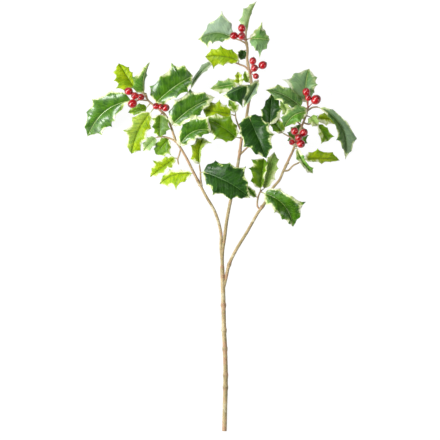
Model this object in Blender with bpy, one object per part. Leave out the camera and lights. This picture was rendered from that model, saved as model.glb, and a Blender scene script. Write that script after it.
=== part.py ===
"""Variegated holly spray, cut from the bush and lying on a table.

One woody stem forks into three leafy branches. Spiny leaves and small bunches of
berries grow from its twigs. The spray lies along Y with its cut end at the low end
of Y, and rests on the flattened underside of that end and on its lowest leaves.

The layout below is in millimetres, measured from the cut end: X across the spray,
Y along it, Z up from the table. Blender's own units are metres.
"""
import math
from collections import namedtuple

import bmesh
import bpy
from mathutils import Vector

MM = 0.001

# ---------------------------------------------------------------- driving dimensions
MIDDLE = (-6, 276)           # middle of the spray's outline, from the cut end
CROWN_HEIGHT = 34            # rise of the branches above the cut end
CROWN_START = 360            # distance at which that height is reached
BUTT_HEIGHT = 2.5            # centre of the cut end, so that its underside is pressed flat
BUTT_LENGTH = 14             # stretch of the stem that lies level on the table

BLADE_THICKNESS = 0.8
TOOTH_WAVE = 0.16            # a spine turns up or down by this share of its reach
# width of the blade between two spines, against the spines' own reach
SINUS_DEPTH = {"dark": 0.72, "mid": 0.66, "lime": 0.60, "pale": 0.64}
SINUS_PLACE = 0.42           # place of that waist between two spines
SHOULDER = (0.42, 0.64)      # point of the margin between the foot and the first spine
SHOULDER_OUT = 0.42          # the same, between the last spine and the tip: its reach
DOME = 0.10                  # each half of the blade bulges by this share of its width

PETIOLE_RADIUS = (0.95, 0.60)
PETIOLE_SIDES = 5
PETIOLE_STEP = 4
PETIOLE_SPRING = 0.3         # share of a leaf stalk's length that stands square to the twig
PETIOLE_RUN = 0.14           # share of the rib along which the leaf stalk is sunk in
SEAT_GAP = 0.30              # between a leaf stalk or berry stalk and its twig
END_ROUNDING = (0.8, 0.55)   # a shoot's rounded end: its length and radius, against the shoot's

BERRY_STRETCH = 1.12         # a berry's length against its width
BERRY_SIDES = 8
BERRY_RINGS = 5
NUB_RADIUS = (1.1, 0.8)      # withered flower scar at the end of a berry
NUB_LENGTH = (1.2, 0.5)      # inside the berry and out of it
BERRY_STALK_RADIUS = 0.75
BERRY_STALK_SIDES = 5
BERRY_STALK_STEP = 6
BERRY_STALK_RISE = 1.5       # how far the middle of a berry stalk bends upward
BERRY_STALK_SUNK = 0.5       # share of a berry's radius between its centre and the stalk's end

SLIVER = 0.03                # triangles thinner than this are collapsed after a union
SLIVER_ROUNDS = 3
BARK_CREASE = 50             # angles in degrees past which an edge stays sharp
LEAF_CREASE = 40
BERRY_CREASE = 50

COLOURS = {                  # colour, roughness
    "bark": ((0.42, 0.30, 0.16), 0.80),
    "leaf_dark": ((0.02, 0.12, 0.04), 0.35),
    "leaf_mid": ((0.06, 0.24, 0.05), 0.38),
    "leaf_lime": ((0.24, 0.42, 0.05), 0.40),
    "leaf_pale": ((0.30, 0.45, 0.24), 0.42),
    "berry": ((0.60, 0.01, 0.02), 0.22),
}

# ---------------------------------------------------------------- woody shoots
# path is the (x, y) route, radius runs from the shoot's start to its end, rise lifts
# the shoot's end above (or drops it below) the height that all shoots share.
Shoot = namedtuple("Shoot", "path radius sides step rise knuckles", defaults=(0, ()))

SHOOTS = (
    # the main stem and the middle branch, which is its own continuation
    Shoot(((0, 0), (0.3, 14), (1.5, 70), (0.6, 109), (-0.6, 134), (-1.3, 166), (-2, 190), (-3, 215)),
          (2.75, 2.5), 8, 12, 0, ((58, 1.2), (74, 1.22), (109, 1.2), (134, 1.25), (167, 1.25))),
    Shoot(((-2.6, 205), (-2.8, 232), (0, 252), (3, 275), (8, 301), (12, 320), (17, 346),
           (20, 365), (22, 380), (27, 402), (30, 419), (33, 440), (34.5, 452), (31, 470),
           (29, 482), (29.5, 494), (27, 508), (27.5, 518)),
          (2.1, 1.35), 7, 10, 0, ((160, 1.2), (228, 1.3), (247, 1.2), (272, 1.25), (298, 1.3))),
    # the left branch
    Shoot(((-3, 222), (-4.6, 240), (-4.8, 260), (-12, 285), (-25, 308), (-38, 333),
           (-48, 353), (-56, 367), (-63, 378), (-68, 393), (-74, 407), (-83, 416),
           (-93, 424), (-99, 430), (-101, 437)),
          (1.85, 1.15), 7, 10, 0, ((108, 1.25), (170, 1.2), (205, 1.3), (232, 1.25))),
    # the right branch
    Shoot(((-1.8, 186), (1.5, 199), (6, 218), (15, 237), (29, 260), (42, 283), (51, 296),
           (61, 315), (70, 326), (75, 337), (82, 352), (88, 365), (90, 372), (95, 385),
           (100, 398), (105, 411), (107, 420)),
          (2.0, 1.2), 7, 10, 0, ((33, 1.3), (118, 1.25), (178, 1.2), (212, 1.3))),
    # twigs of the left branch
    Shoot(((-29, 318), (-30.5, 327), (-31, 337), (-32, 344)), (1.1, 0.9), 6, 6),
    Shoot(((-56, 367), (-58, 359), (-60, 353), (-59, 347)), (1.0, 0.8), 6, 6, -3),
    Shoot(((-63, 376), (-70, 380), (-78, 382), (-85, 382)), (1.1, 0.8), 6, 6, -6),
    Shoot(((-97, 428), (-106, 429), (-114, 429)), (1.0, 0.8), 6, 6, 0),
    Shoot(((-100, 433), (-106, 439), (-112, 443)), (1.0, 0.8), 6, 6, -3),
    # twigs of the middle branch
    Shoot(((19, 358), (27, 366), (38, 376), (49, 386), (55, 393)), (1.1, 0.8), 6, 8, -2),
    Shoot(((23, 386), (18, 396), (15, 404), (14, 409)), (1.1, 0.8), 6, 6, -3),
    Shoot(((33, 443), (27, 446), (22, 448)), (1.0, 0.8), 6, 6, -3),
    Shoot(((34, 449), (39, 451), (43, 454)), (1.0, 0.8), 6, 6, 4),
    Shoot(((31, 467), (26, 472), (21, 474), (14, 477), (4, 480), (-2, 481)), (1.1, 0.8), 6, 7, -4),
    Shoot(((28, 501), (21, 505), (15, 507)), (1.0, 0.8), 6, 6, 0),
    # twigs of the right branch
    Shoot(((46, 289), (42.5, 292), (42, 298), (43.5, 306), (46, 312)), (1.1, 0.9), 6, 6, 1),
    Shoot(((76, 338), (82, 339), (88, 345), (94, 348), (99, 351)), (1.1, 0.8), 6, 6, 0),
    Shoot(((91, 375), (85, 381), (78, 385)), (1.0, 0.8), 6, 6, -4),
    Shoot(((99, 396), (92, 402), (87, 405)), (1.0, 0.8), 6, 6, 1),
    Shoot(((101, 400), (108, 398), (115, 401)), (1.0, 0.8), 6, 6, -3),
    Shoot(((106, 415), (112, 419), (118, 420)), (1.1, 0.9), 6, 6, 2),
)

# ---------------------------------------------------------------- leaves
# foot and tip are the ends of the rib (x, y, z). bow is how far the rib bends to its
# left, arch how far it rises between its ends. lift is the slope in degrees of the
# left and the right half of the blade. A spine is (place along the rib, reach in mm).
Leaf = namedtuple("Leaf", "name tint foot tip bow arch lift left right")

LEAVES = (
    Leaf("left_1", "dark", (-120, 428, 38), (-179, 384, -6), -10, 9, (8, 10),
         ((0.14, 5), (0.37, 18), (0.56, 19), (0.80, 16)), ((0.24, 18), (0.48, 21), (0.70, 15), (0.88, 8))),
    Leaf("left_2", "lime", (-116, 445, 34), (-136, 477, 30), 0, 4, (10, 10),
         ((0.30, 19), (0.52, 17), (0.82, 12)), ((0.20, 6), (0.44, 9), (0.68, 8))),
    Leaf("left_3", "mid", (-103, 438, 42), (-94, 477, 54), 4, 4, (10, -75),
         ((0.16, 14), (0.42, 14), (0.74, 3)), ((0.25, 8), (0.50, 8), (0.76, 6))),
    Leaf("left_4", "dark", (-87, 425, 44), (-40, 458, 56), 2, 7, (15, 12),
         ((0.14, 19), (0.44, 21), (0.74, 25), (0.92, 16)), ((0.08, 8), (0.44, 13), (0.72, 14), (0.90, 8))),
    Leaf("left_5", "dark", (-67, 397, 40), (-12, 432, 43), 4, 6, (15, 8),
         ((0.12, 13), (0.34, 21), (0.64, 20), (0.84, 10)), ((0.08, 7), (0.34, 15), (0.58, 12), (0.84, 7))),
    Leaf("left_6", "dark", (-57, 370, 44), (-17, 389, 57), 8, 8, (15, 10),
         ((0.14, 9), (0.42, 14), (0.68, 18), (0.88, 16)), ((0.10, 6), (0.46, 12), (0.74, 9), (0.94, 5))),
    Leaf("left_7", "lime", (-32, 347, 40), (-27, 381, 34), 3, 4, (25, 30),
         ((0.20, 10), (0.56, 13), (0.86, 7)), ((0.30, 3), (0.60, 5), (0.86, 13))),
    Leaf("left_8", "mid", (-72, 379, 28), (-89, 360, 14), 0, 4, (10, 10),
         ((0.20, 8), (0.42, 16), (0.78, 9)), ((0.18, 8), (0.56, 10), (0.86, 6))),
    Leaf("left_9", "lime", (-95, 413, 34), (-121, 361, 8), -4, 5, (10, 10),
         ((0.28, 12), (0.54, 15), (0.88, 10)), ((0.30, 14), (0.56, 17), (0.88, 7))),
    Leaf("left_10", "lime", (-82, 410, 39), (-83, 381, 38), 0, 3, (10, 10),
         ((0.26, 12), (0.62, 14), (0.86, 7)), ((0.20, 10), (0.56, 10), (0.82, 7))),
    Leaf("left_11", "pale", (-89, 381, 27), (-105, 364, 24), 0, 2, (20, 20),
         ((0.30, 7), (0.68, 7)), ((0.30, 8), (0.66, 8))),
    Leaf("left_12", "mid", (-100, 420, 30), (-125, 414, 20), 0, 3, (10, 10),
         ((0.32, 7), (0.68, 6)), ((0.32, 7), (0.66, 7))),
    Leaf("left_13", "lime", (-63, 355, 30), (-97, 331, 10), 0, 5, (10, 10),
         ((0.26, 7), (0.54, 7), (0.82, 4)), ((0.22, 8), (0.56, 14), (0.80, 7))),
    Leaf("left_14", "lime", (-42, 335, 32), (-85, 322, 3), -5, 5, (10, 10),
         ((0.18, 10), (0.48, 19), (0.84, 9)), ((0.26, 4), (0.54, 9), (0.80, 5))),
    Leaf("middle_1", "dark", (9, 509, 41), (-35, 511, -6), -6, 11, (8, 30),
         ((0.18, 10), (0.46, 14), (0.80, 15)), ((0.10, 12), (0.25, 29), (0.64, 8))),
    Leaf("middle_2", "mid", (29, 518, 40), (41, 554, 47), 3, 4, (10, -75),
         ((0.26, 11), (0.60, 10), (0.82, 4)), ((0.28, 5), (0.56, 4), (0.80, 3))),
    Leaf("middle_3", "mid", (32, 507, 43), (58, 506, 37), 0, 4, (12, 5),
         ((0.18, 7), (0.50, 21), (0.76, 9), (0.90, 4)), ((0.10, 8), (0.30, 15), (0.54, 22), (0.80, 11))),
    Leaf("middle_4", "lime", (18, 479, 44), (-25, 484, 39), -2.5, 5, (-16, 25),
         ((0.14, 7), (0.42, 11), (0.82, 16)), ((0.26, 10), (0.54, 14), (0.80, 8))),
    Leaf("middle_5", "pale", (-9, 481, 32), (-44, 443, 20), -5, 3, (60, 50),
         ((0.36, 7), (0.74, 6)), ((0.36, 7), (0.74, 6))),
    Leaf("middle_6", "pale", (17, 450, 33), (-19, 444, 29), 0, 3, (10, 10),
         ((0.32, 11), (0.66, 9)), ((0.30, 9), (0.64, 8))),
    Leaf("middle_7", "lime", (19, 447, 43), (17, 465, 43), 0, 2, (20, 20),
         ((0.34, 7), (0.70, 5)), ((0.34, 6), (0.70, 5))),
    Leaf("middle_8", "mid", (31, 452, 31), (26, 467, 29), 0, 2, (10, 10),
         ((0.36, 6), (0.70, 4)), ((0.34, 4), (0.70, 4))),
    Leaf("middle_9", "dark", (30, 447, 49), (-2, 433, 48), 0, 6, (-28, -60),
         ((0.18, 15), (0.52, 23), (0.86, 11)), ((0.30, 9), (0.60, 11), (0.86, 7))),
    Leaf("middle_10", "mid", (43, 451, 54), (24, 418, 55), 0, 5, (55, 50),
         ((0.42, 8), (0.76, 6)), ((0.36, 11), (0.72, 9))),
    Leaf("middle_11", "mid", (14, 413, 38), (5, 429, 40), 0, 2, (15, 15),
         ((0.34, 5), (0.68, 4)), ((0.34, 8), (0.68, 7))),
    Leaf("middle_12", "dark", (25, 493, 31), (21, 481, 28), 0, 2, (15, 15),
         ((0.34, 6), (0.70, 5)), ((0.34, 7), (0.70, 6))),
    Leaf("middle_13", "lime", (8, 411, 34), (-28, 417, 29), 0, 4, (10, 10),
         ((0.18, 11), (0.48, 13), (0.84, 9)), ((0.20, 10), (0.46, 15), (0.78, 11))),
    Leaf("middle_14", "mid", (15, 381, 41), (-27, 406, 40), -2, 5, (10, 10),
         ((0.12, 12), (0.46, 20), (0.74, 14)), ((0.16, 11), (0.42, 18), (0.76, 10))),
    Leaf("middle_15", "dark", (31, 407, 50), (53, 353, 57), 0, 9, (12, 12),
         ((0.10, 13), (0.36, 19), (0.58, 19), (0.82, 11)), ((0.08, 14), (0.32, 22), (0.58, 20), (0.82, 10))),
    Leaf("middle_16", "dark", (-27, 336, 47), (33, 303, 51), 4, 7, (10, 10),
         ((0.14, 17), (0.38, 22), (0.62, 26), (0.80, 11)), ((0.12, 12), (0.36, 23), (0.72, 16), (0.88, 7))),
    Leaf("right_1", "lime", (46, 316, 42), (50, 354, 45), 0, 4, (25, 30),
         ((0.22, 13), (0.60, 20), (0.88, 15)), ((0.26, 4), (0.58, 7), (0.84, 7))),
    Leaf("right_2", "pale", (51, 316, 34), (64, 363, 33), 0, 3, (20, 25),
         ((0.28, 8), (0.56, 9), (0.80, 6)), ((0.30, 10), (0.58, 12), (0.82, 8))),
    Leaf("right_3", "mid", (40, 305, 35), (26, 321, 39), 0, 2, (50, 50),
         ((0.38, 7), (0.72, 5)), ((0.38, 6), (0.72, 5))),
    Leaf("right_4", "dark", (51, 309, 44), (88, 266, 34), 9, 8, (8, 25),
         ((0.22, 13), (0.44, 14), (0.66, 23), (0.84, 9)), ((0.12, 12), (0.42, 18), (0.74, 11), (0.90, 5))),
    Leaf("right_5", "dark", (58, 398, 33), (61, 439, 31), 0, 4, (20, 10),
         ((0.16, 13), (0.42, 14), (0.74, 6)), ((0.22, 12), (0.50, 15), (0.78, 8))),
    Leaf("right_6", "mid", (75, 387, 29), (57, 411, 21), 0, 3, (15, 15),
         ((0.32, 8), (0.66, 8)), ((0.32, 9), (0.68, 8))),
    Leaf("right_7", "dark", (97, 420, 43), (52, 441, 44), -4, 5, (15, 15),
         ((0.16, 8), (0.42, 11), (0.70, 9)), ((0.14, 9), (0.46, 12), (0.74, 9))),
    Leaf("right_8", "dark", (105, 426, 40), (109, 470, 30), 3, 5, (12, 15),
         ((0.24, 14), (0.50, 30), (0.76, 14)), ((0.26, 10), (0.48, 15), (0.78, 12))),
    Leaf("right_9", "mid", (105, 413, 47), (76, 392, 46), -6, 6, (12, 15),
         ((0.14, 8), (0.38, 13), (0.70, 9)), ((0.24, 10), (0.52, 12), (0.78, 9))),
    Leaf("right_10", "dark", (122, 418, 44), (158, 354, -7), 13, 14, (20, 24),
         ((0.16, 6), (0.40, 9), (0.70, 14), (0.86, 6)), ((0.16, 4), (0.40, 8), (0.62, 12), (0.80, 6))),
    Leaf("right_11", "lime", (119, 406, 33), (153, 405, 23), 0, 3, (15, 15),
         ((0.30, 8), (0.62, 7)), ((0.34, 9), (0.68, 8))),
    Leaf("right_12", "mid", (121, 398, 31), (134, 377, 19), 0, 3, (20, 20),
         ((0.36, 7), (0.82, 10)), ((0.36, 6), (0.78, 11))),
    Leaf("right_13", "pale", (110, 407, 39), (119, 395, 41), 0, 3, (25, 25),
         ((0.34, 8), (0.70, 6)), ((0.34, 8), (0.70, 7))),
    Leaf("right_14", "dark", (93, 369.4, 26.2), (97, 399, 23), 0, 3, (15, 15),
         ((0.22, 12), (0.52, 15), (0.80, 10)), ((0.22, 12), (0.52, 13), (0.80, 9))),
    Leaf("right_15", "lime", (103, 353, 36), (149, 352, 24), 2, 4, (12, -50),
         ((0.12, 8), (0.34, 12), (0.76, 8)), ((0.24, 8), (0.52, 9), (0.80, 7))),
    Leaf("right_16", "mid", (93, 366, 42), (114, 335, 30), -4, 5, (50, 50),
         ((0.30, 7), (0.58, 7), (0.82, 7)), ((0.28, 7), (0.56, 6), (0.80, 5))),
    Leaf("right_17", "pale", (84, 408, 40), (71, 429, 40), 0, 2, (30, 30),
         ((0.32, 8), (0.66, 7)), ((0.32, 7), (0.66, 7))),
)

# ---------------------------------------------------------------- berries
# root is where the bunch's stalks leave the twig. A berry is (x, y, z, radius).
Bunch = namedtuple("Bunch", "name root berries")

BUNCHES = (
    Bunch("left_1", (-103, 433, 42),
          ((-122, 439, 50, 5.0), (-114, 433, 53, 4.6), (-106, 431, 56, 4.6), (-117, 423, 52, 5.6))),
    Bunch("left_2", (-82, 417, 41),
          ((-87, 420, 50, 4.3), (-80.5, 419, 52, 3.8), (-75, 418, 50, 5.0))),
    Bunch("middle_1", (26, 505, 41),
          ((22, 519, 51, 5.0), (22, 508.5, 56, 5.0), (12, 509, 55, 5.0))),
    Bunch("middle_2", (33, 463, 41),
          ((36, 477.5, 50, 4.5), (38, 468, 54, 4.6), (48.5, 472, 52, 5.2), (40, 458, 51, 3.8))),
    Bunch("right_1", (107, 419, 42),
          ((104, 438, 52, 4.9), (106, 430, 56, 4.0), (116, 428, 55, 6.2))),
    Bunch("right_2", (91, 374, 41),
          ((89, 388, 54, 4.8), (85.5, 374, 51, 3.8), (100.5, 386, 55, 5.1), (94, 379.5, 58, 4.6),
           (97, 372, 52, 5.4))),
)


# ---------------------------------------------------------------- curves
def crown_height(y):
    """Height above the table that the shoots share at distance y from the cut end."""
    share = max(0, min(1, (y - BUTT_LENGTH) / (CROWN_START - BUTT_LENGTH)))
    return BUTT_HEIGHT + CROWN_HEIGHT * math.sin(math.pi / 2 * share)


def smooth_route(points, step):
    """Points about one step apart on a smooth curve through the given ones."""
    ends = [2 * points[0] - points[1]] + list(points) + [2 * points[-1] - points[-2]]
    route = []
    for before, start, end, after in zip(ends, ends[1:], ends[2:], ends[3:]):
        count = max(1, round((end - start).length / step))
        for i in range(count):
            t = i / count
            route.append(0.5 * (2 * start + (end - before) * t
                                + (2 * before - 5 * start + 4 * end - after) * t ** 2
                                + (3 * start - before - 3 * end + after) * t ** 3))
    return route + [points[-1].copy()]


def shoot_route(shoot):
    """Centre line of a shoot, and its radius at each point of that line."""
    count = len(shoot.path) - 1
    points = [Vector((x, y, crown_height(y) + shoot.rise * i / count))
              for i, (x, y) in enumerate(shoot.path)]
    route = smooth_route(points, shoot.step)
    radii = []
    for i, point in enumerate(route):
        share = i / (len(route) - 1)
        radius = shoot.radius[0] + (shoot.radius[1] - shoot.radius[0]) * share
        run = (point - route[0]).length
        for place, swell in shoot.knuckles:
            radius *= 1 + (swell - 1) * max(0, 1 - abs(run - place) / shoot.step)
        radii.append(radius)
    return route, radii


ROUTES = [shoot_route(shoot) for shoot in SHOOTS]


def seat_on_twig(point):
    """Nearest place on the shoots' bark, and the direction out of the bark there."""
    best = None
    for route, radii in ROUTES:
        for a, b, ra, rb in zip(route, route[1:], radii, radii[1:]):
            t = max(0, min(1, (point - a).dot(b - a) / (b - a).length_squared))
            centre = a.lerp(b, t)
            radius = ra + (rb - ra) * t
            gap = (point - centre).length - radius
            if best is None or gap < best[0]:
                best = (gap, centre, radius)
    _, centre, radius = best
    outward = (point - centre).normalized()
    return centre + outward * radius, outward


# ---------------------------------------------------------------- meshes
def new_object(name, vertices, faces, colour):
    """A mesh object from points in millimetres, set down about the middle of the spray."""
    mesh = bpy.data.meshes.new(name)
    mesh.from_pydata([Vector(v) * MM for v in vertices], [], faces)
    mesh.validate()
    mesh.materials.append(material(colour))
    piece = bpy.data.objects.new(name, mesh)
    piece.location = (-MIDDLE[0] * MM, -MIDDLE[1] * MM, 0)
    bpy.context.scene.collection.objects.link(piece)
    return piece


def material(name):
    found = bpy.data.materials.get(name)
    if found:
        return found
    made = bpy.data.materials.new(name)
    made.use_nodes = True
    shader = made.node_tree.nodes["Principled BSDF"]
    colour, roughness = COLOURS[name]
    shader.inputs["Base Color"].default_value = (*colour, 1)
    shader.inputs["Roughness"].default_value = roughness
    shader.inputs["Metallic"].default_value = 0
    made.diffuse_color = (*colour, 1)
    return made


def tube(name, route, radii, sides, colour):
    """Closed tube round a route, its rings carried along without twist."""
    vertices = []
    across = None
    for i, point in enumerate(route):
        ahead = (route[min(i + 1, len(route) - 1)] - route[max(i - 1, 0)]).normalized()
        if across is None:
            across = ahead.orthogonal().normalized()
        across = (across - ahead * across.dot(ahead)).normalized()
        other = ahead.cross(across)
        for k in range(sides):
            turn = 2 * math.pi * (k + 0.5) / sides
            vertices.append(point + radii[i] * (math.cos(turn) * across + math.sin(turn) * other))
    faces = [tuple(reversed(range(sides)))]
    for i in range(len(route) - 1):
        for k in range(sides):
            a, b = i * sides + k, i * sides + (k + 1) % sides
            faces.append((a, b, b + sides, a + sides))
    faces.append(tuple(range(len(vertices) - sides, len(vertices))))
    return new_object(name, vertices, faces, colour)


def fuse(pieces, name):
    """Join overlapping solids into the first one by a single Boolean union."""
    body, rest = pieces[0], pieces[1:]
    others = bpy.data.collections.new("parts_of_" + name)
    bpy.context.scene.collection.children.link(others)
    for piece in rest:
        bpy.context.scene.collection.objects.unlink(piece)
        others.objects.link(piece)
    union = body.modifiers.new("union", "BOOLEAN")
    union.operation = "UNION"
    union.operand_type = "COLLECTION"
    union.collection = others
    union.solver = "MANIFOLD"
    bpy.context.view_layer.update()
    joined = bpy.data.meshes.new_from_object(
        body.evaluated_get(bpy.context.evaluated_depsgraph_get()))
    body.modifiers.clear()
    body.data = joined
    body.name = joined.name = name
    for piece in rest:
        bpy.data.objects.remove(piece)
    bpy.data.collections.remove(others)
    return body


def finish(piece, angle):
    """Collapse the union's slivers and shade smooth, with creases past the angle left sharp."""
    work = bmesh.new()
    work.from_mesh(piece.data)
    for _ in range(SLIVER_ROUNDS):
        bmesh.ops.triangulate(work, faces=work.faces)
        bmesh.ops.dissolve_degenerate(work, dist=SLIVER * MM, edges=work.edges)
    bmesh.ops.triangulate(work, faces=work.faces)
    work.to_mesh(piece.data)
    work.free()
    piece.data.shade_smooth()
    piece.data.set_sharp_from_angle(angle=math.radians(angle))


def press_on_table(piece):
    """Flatten what would reach below the table."""
    for vertex in piece.data.vertices:
        vertex.co.z = max(vertex.co.z, 0)


# ---------------------------------------------------------------- the woody stem
def rounded_end(route, radii):
    """The same shoot with its far end drawn in, so that it isn't cut off square."""
    ahead = (route[-1] - route[-2]).normalized()
    length, radius = (radii[-1] * share for share in END_ROUNDING)
    return route + [route[-1] + ahead * length], radii + [radius]


def make_stem():
    tubes = [tube(f"shoot_{i}", *rounded_end(*ROUTES[i]), shoot.sides, "bark")
             for i, shoot in enumerate(SHOOTS)]
    stem = fuse(tubes, "Stem")
    press_on_table(stem)
    finish(stem, BARK_CREASE)


# ---------------------------------------------------------------- leaves
def rib_point(leaf, t):
    """Point of the rib at share t, with its left side and its upper side there."""
    foot, tip = Vector(leaf.foot), Vector(leaf.tip)
    run = tip - foot
    level = Vector((run.x, run.y, 0)).normalized()
    left = Vector((-level.y, level.x, 0))
    curve, slope = 4 * t * (1 - t), 4 * (1 - 2 * t)
    point = foot + run * t + left * leaf.bow * curve + Vector((0, 0, leaf.arch * curve))
    ahead = (run + left * leaf.bow * slope + Vector((0, 0, leaf.arch * slope))).normalized()
    side = Vector((-ahead.y, ahead.x, 0)).normalized()
    return point, side, ahead.cross(side)


def margin(spines, depth):
    """Outline of one half of the blade: (place along the rib, reach, share of its wave)."""
    first, last = spines[0], spines[-1]
    outline = [(first[0] * SHOULDER[0], first[1] * SHOULDER[1], 0)]
    for i, (place, reach) in enumerate(spines):
        turn = 1 if i % 2 else -1
        outline.append((place, reach, turn))
        if i + 1 < len(spines):
            after, beyond = spines[i + 1]
            outline.append((place + (after - place) * SINUS_PLACE,
                            (reach + beyond) / 2 * depth, 0))
    outline.append(((1 + last[0]) / 2, last[1] * SHOULDER_OUT, 0))
    return outline


def blade_point(leaf, rib_place, side, edge, share):
    """Point of the blade at a share of the way from the rib to its edge."""
    place, reach, turn = edge
    point, left, up = rib_point(leaf, rib_place + (place - rib_place) * share)
    lift = math.radians(leaf.lift[0] if side > 0 else leaf.lift[1])
    out = reach * share
    bulge = DOME * reach * 4 * share * (1 - share)
    wave = turn * TOOTH_WAVE * reach * share ** 2
    level = math.cos(lift) * out - math.sin(lift) * (bulge + wave)
    height = math.sin(lift) * out + math.cos(lift) * (bulge + wave)
    return point + left * side * level + up * height


def blade_grid(leaf):
    """Rows of points from the left edge to the right one, between the foot and the tip."""
    rows = []
    shares = (1, 0.5) if len(leaf.left) > 2 else (1,)
    depth = SINUS_DEPTH[leaf.tint]
    for left, right in zip(margin(leaf.left, depth), margin(leaf.right, depth)):
        rib = (left[0] + right[0]) / 2
        rows.append([blade_point(leaf, rib, 1, left, share) for share in shares]
                    + [rib_point(leaf, rib)[0]]
                    + [blade_point(leaf, rib, -1, right, share) for share in reversed(shares)])
    return rows


def blade_triangles(rows, columns):
    """Triangles of one face of the blade, with the foot first and the tip last."""
    def at(row, column):
        return 1 + row * columns + column
    tip = 1 + rows * columns
    triangles = [(0, at(0, c + 1), at(0, c)) for c in range(columns - 1)]
    for row in range(rows - 1):
        for c in range(columns - 1):
            a, b = at(row, c), at(row, c + 1)
            triangles += [(a, b, b + columns), (a, b + columns, a + columns)]
    triangles += [(at(rows - 1, c), at(rows - 1, c + 1), tip) for c in range(columns - 1)]
    loop = [0] + [at(r, columns - 1) for r in range(rows)] + [tip]
    loop += [at(r, 0) for r in reversed(range(rows))]
    return triangles, loop


def blade_solid(leaf, name):
    """The blade as a closed sheet with the same triangles on both faces, flat on the table."""
    rows = blade_grid(leaf)
    columns = len(rows[0])
    points = [rib_point(leaf, 0)[0]] + [p for row in rows for p in row] + [rib_point(leaf, 1)[0]]
    level = Vector((0, 0, BLADE_THICKNESS / 2))
    for point in points:
        point.z = max(point.z, level.z)
    triangles, loop = blade_triangles(len(rows), columns)
    normals = [Vector() for _ in points]
    for a, b, c in triangles:
        across = (points[b] - points[a]).cross(points[c] - points[a])
        for corner in (a, b, c):
            normals[corner] += across
    upper, lower = [], []
    for point, normal in zip(points, normals):
        half = normal.normalized() * BLADE_THICKNESS / 2
        if point.z == level.z or point.z - abs(half.z) < 0:
            half = level
        upper.append(point + half)
        lower.append(point - half)
    count = len(points)
    faces = list(triangles)
    faces += [tuple(count + i for i in reversed(t)) for t in triangles]
    for a, b in zip(loop, loop[1:] + loop[:1]):
        faces += [(b, a, count + a), (b, count + a, count + b)]
    return new_object(name, upper + lower, faces, "leaf_" + leaf.tint)


def petiole(leaf, name):
    """The leaf stalk, from its seat on the twig into the foot of the blade."""
    foot = rib_point(leaf, 0)[0]
    bark, outward = seat_on_twig(foot)
    start = bark + outward * SEAT_GAP
    reach = (foot - start).length
    sunk = rib_point(leaf, PETIOLE_RUN)[0]
    route = smooth_route([start, start + outward * reach * PETIOLE_SPRING, foot, sunk],
                         PETIOLE_STEP)
    radii = [PETIOLE_RADIUS[0] + (PETIOLE_RADIUS[1] - PETIOLE_RADIUS[0]) * i / (len(route) - 1)
             for i in range(len(route))]
    return tube(name, route, radii, PETIOLE_SIDES, "leaf_" + leaf.tint)


def make_leaf(leaf):
    name = "Leaf_" + leaf.name
    piece = fuse([blade_solid(leaf, name + "_blade"), petiole(leaf, name + "_stalk")], name)
    finish(piece, LEAF_CREASE)


# ---------------------------------------------------------------- berries
def berry(name, centre, axis, radius):
    """A slightly long berry, turned round the line of its stalk."""
    outline = []
    for i in range(1, BERRY_RINGS + 1):
        angle = math.pi * i / (BERRY_RINGS + 1)
        outline.append((math.sin(angle) * radius, -math.cos(angle) * radius * BERRY_STRETCH))
    side = axis.orthogonal().normalized()
    other = axis.cross(side)
    vertices = [centre - axis * radius * BERRY_STRETCH]
    for out, along in outline:
        for k in range(BERRY_SIDES):
            turn = 2 * math.pi * k / BERRY_SIDES
            vertices.append(centre + axis * along
                            + out * (math.cos(turn) * side + math.sin(turn) * other))
    vertices.append(centre + axis * radius * BERRY_STRETCH)
    last = len(vertices) - 1
    faces = []
    for k in range(BERRY_SIDES):
        after = (k + 1) % BERRY_SIDES
        faces.append((0, 1 + after, 1 + k))
        for ring in range(BERRY_RINGS - 1):
            a, b = 1 + ring * BERRY_SIDES + k, 1 + ring * BERRY_SIDES + after
            faces.append((a, b, b + BERRY_SIDES, a + BERRY_SIDES))
        faces.append((last - BERRY_SIDES + k, last - BERRY_SIDES + after, last))
    return new_object(name, vertices, faces, "berry")


def make_bunch(bunch):
    """Berries on curved stalks that spring together from the twig."""
    bark, outward = seat_on_twig(Vector(bunch.root))
    root = bark + outward * (SEAT_GAP + BERRY_STALK_RADIUS)
    pieces = []
    for i, (x, y, z, radius) in enumerate(bunch.berries):
        centre = Vector((x, y, z))
        knee = root.lerp(centre, 0.5) + Vector((0, 0, BERRY_STALK_RISE))
        axis = (centre - knee).normalized()
        inner = centre - axis * radius * BERRY_STALK_SUNK
        stalk = smooth_route([root, knee, inner], BERRY_STALK_STEP)
        pieces.append(berry(f"berry_{i}", centre, axis, radius))
        pieces.append(tube(f"stalk_{i}", stalk, [BERRY_STALK_RADIUS] * len(stalk),
                           BERRY_STALK_SIDES, "berry"))
        scar = centre + axis * radius * BERRY_STRETCH
        pieces.append(tube(f"nub_{i}", [scar - axis * NUB_LENGTH[0], scar + axis * NUB_LENGTH[1]],
                           NUB_RADIUS, BERRY_STALK_SIDES, "berry"))
    piece = fuse(pieces, "Berries_" + bunch.name)
    finish(piece, BERRY_CREASE)


# ---------------------------------------------------------------- the whole spray
def main():
    for left_over in list(bpy.data.objects):
        bpy.data.objects.remove(left_over)
    make_stem()
    for leaf in LEAVES:
        make_leaf(leaf)
    for bunch in BUNCHES:
        make_bunch(bunch)


main()
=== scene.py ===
"""Looks of the variegated holly spray: fine leaves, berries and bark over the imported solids.

The layout repeats the part's own, in millimetres from the cut end: X across the spray,
Y along it, Z up from the table. Meshes are set down in metres about the spray's MIDDLE.
"""
import math
from collections import namedtuple

import bpy
import numpy as np
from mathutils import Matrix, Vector, noise


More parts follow.
